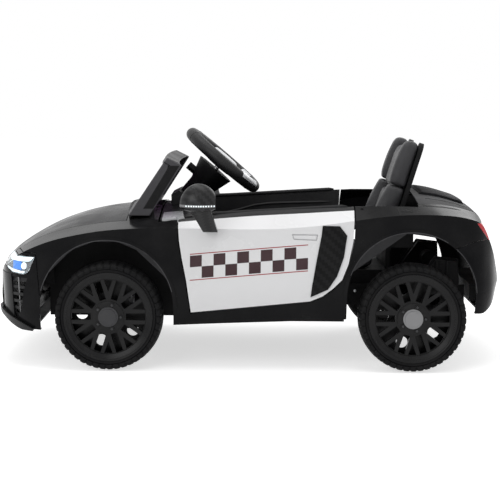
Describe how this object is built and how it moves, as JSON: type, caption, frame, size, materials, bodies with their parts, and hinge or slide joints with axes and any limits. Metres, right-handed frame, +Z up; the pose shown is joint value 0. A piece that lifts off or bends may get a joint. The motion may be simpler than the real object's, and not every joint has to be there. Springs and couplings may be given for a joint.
{
  "type": "ride-on toy police car",
  "caption": "child's electric ride-on police car with open cabin, raked screen, opening doors, steered front wheels and spoked wheels",
  "frame": {"origin": "on the floor under the middle of the car, halfway along its length", "axes": "-X is the nose, +X the tail, -Y the car's left side, +Z up"},
  "size_m": [1.0961, 0.734, 0.5047],
  "materials": {
    "under_black": "black moulded plastic with a fine grain",
    "body_black": "gloss black, deep and smooth",
    "trim_black": "satin black plastic",
    "lamp_clear": "clear lamp cover over lit white and blue strips",
    "lamp_red": "red tinted lamp cover",
    "screen_tint": "dark tinted clear plastic",
    "silver_trim": "bright silver plating on plastic",
    "seat_leather": "black padded leather with stitched seams",
    "steel": "plain steel",
    "battery_case": "grey black battery case",
    "door_white": "gloss white",
    "carbon_black": "black woven carbon pattern under gloss",
    "tyre": "black tyre, moulded tread",
    "rim_black": "gloss black plastic",
    "hub_dark": "dark hub cap",
    "hub_silver": "silver grey hub cap"
  },
  "bodies": {
    "car": {"chassis_tray": "under_black", "front_arch_panels": "under_black", "body_shell": "body_black", "hood": "body_black", "front_bumper": "body_black", "front_grille": "trim_black", "front_lip": "trim_black", "headlamps": "lamp_clear", "tail_lamps": "lamp_red", "rear_bumper": "body_black", "rear_diffuser": "trim_black", "rear_deck": "body_black", "windshield_frame": "body_black", "windshield_glass": "screen_tint", "dashboard": "trim_black", "dash_trim": "silver_trim", "column_cover": "trim_black", "pedal": "trim_black", "seat_tub": "under_black", "seat_cushion": "seat_leather", "seat_backrest": "seat_leather", "rear_axle": "steel", "gearboxes": "under_black", "front_beam": "steel", "battery": "battery_case"},
    "door_left": {"door_left_panel": "door_white", "door_left_card": "trim_black", "door_left_blade": "carbon_black", "door_left_handle": "door_white", "door_left_mirror": "carbon_black"},
    "door_right": {"door_right_panel": "door_white", "door_right_card": "trim_black", "door_right_blade": "carbon_black", "door_right_handle": "door_white", "door_right_mirror": "carbon_black"},
    "steering": {"steering_shaft": "steel", "steering_wheel": "trim_black", "steering_wheel_pad": "silver_trim"},
    "knuckle_left": {"knuckle_left": "steel"},
    "knuckle_right": {"knuckle_right": "steel"},
    "tie_rod": {"tie_rod": "steel"},
    "wheel_front_left": {"wheel_front_left_tyre": "tyre", "wheel_front_left_rim": "rim_black", "wheel_front_left_cap": "hub_dark"},
    "wheel_front_right": {"wheel_front_right_tyre": "tyre", "wheel_front_right_rim": "rim_black", "wheel_front_right_cap": "hub_dark"},
    "wheel_rear_left": {"wheel_rear_left_tyre": "tyre", "wheel_rear_left_rim": "rim_black", "wheel_rear_left_cap": "hub_silver"},
    "wheel_rear_right": {"wheel_rear_right_tyre": "tyre", "wheel_rear_right_rim": "rim_black", "wheel_rear_right_cap": "hub_silver"}
  },
  "joints": [
    {"name": "steer_wheel", "type": "hinge", "parent": "car", "child": "steering", "pos_m": [-0.06302, 0, 0.432], "axis": [0.6454, 0, 0.7638], "range_deg": [-28, 28]},
    {"name": "steer_left", "type": "hinge", "parent": "car", "child": "knuckle_left", "pos_m": [-0.298, -0.204, 0.115], "axis": [0, 0, 1], "range_deg": [-24.87, 24.87]},
    {"name": "steer_right", "type": "hinge", "parent": "car", "child": "knuckle_right", "pos_m": [-0.298, 0.204, 0.115], "axis": [0, 0, 1], "range_deg": [-24.87, 24.87]},
    {"name": "steer_rod", "type": "hinge", "parent": "knuckle_left", "child": "tie_rod", "pos_m": [-0.256, -0.204, 0.146], "axis": [0, 0, 1], "range_deg": [-24.87, 24.87]},
    {"name": "roll_front_left", "type": "hinge", "parent": "knuckle_left", "child": "wheel_front_left", "pos_m": [-0.298, -0.262, 0.115], "axis": [0, 1, 0], "continuous": true},
    {"name": "roll_front_right", "type": "hinge", "parent": "knuckle_right", "child": "wheel_front_right", "pos_m": [-0.298, 0.262, 0.115], "axis": [0, 1, 0], "continuous": true},
    {"name": "roll_rear_left", "type": "hinge", "parent": "car", "child": "wheel_rear_left", "pos_m": [0.34502, -0.262, 0.115], "axis": [0, 1, 0], "continuous": true},
    {"name": "roll_rear_right", "type": "hinge", "parent": "car", "child": "wheel_rear_right", "pos_m": [0.34502, 0.262, 0.115], "axis": [0, 1, 0], "continuous": true},
    {"name": "open_door_left", "type": "hinge", "parent": "car", "child": "door_left", "pos_m": [-0.11004, -0.27999, 0.16], "axis": [0, 0, -1], "range_deg": [0, 55]},
    {"name": "open_door_right", "type": "hinge", "parent": "car", "child": "door_right", "pos_m": [-0.11004, 0.27999, 0.16], "axis": [0, 0, 1], "range_deg": [0, 55]}
  ],
  "couplings": [
    {"joint": "steer_left", "follows": "steer_wheel", "ratio": 0.8775},
    {"joint": "steer_right", "follows": "steer_wheel", "ratio": 0.8775},
    {"joint": "steer_rod", "follows": "steer_wheel", "ratio": -0.8775}
  ]
}
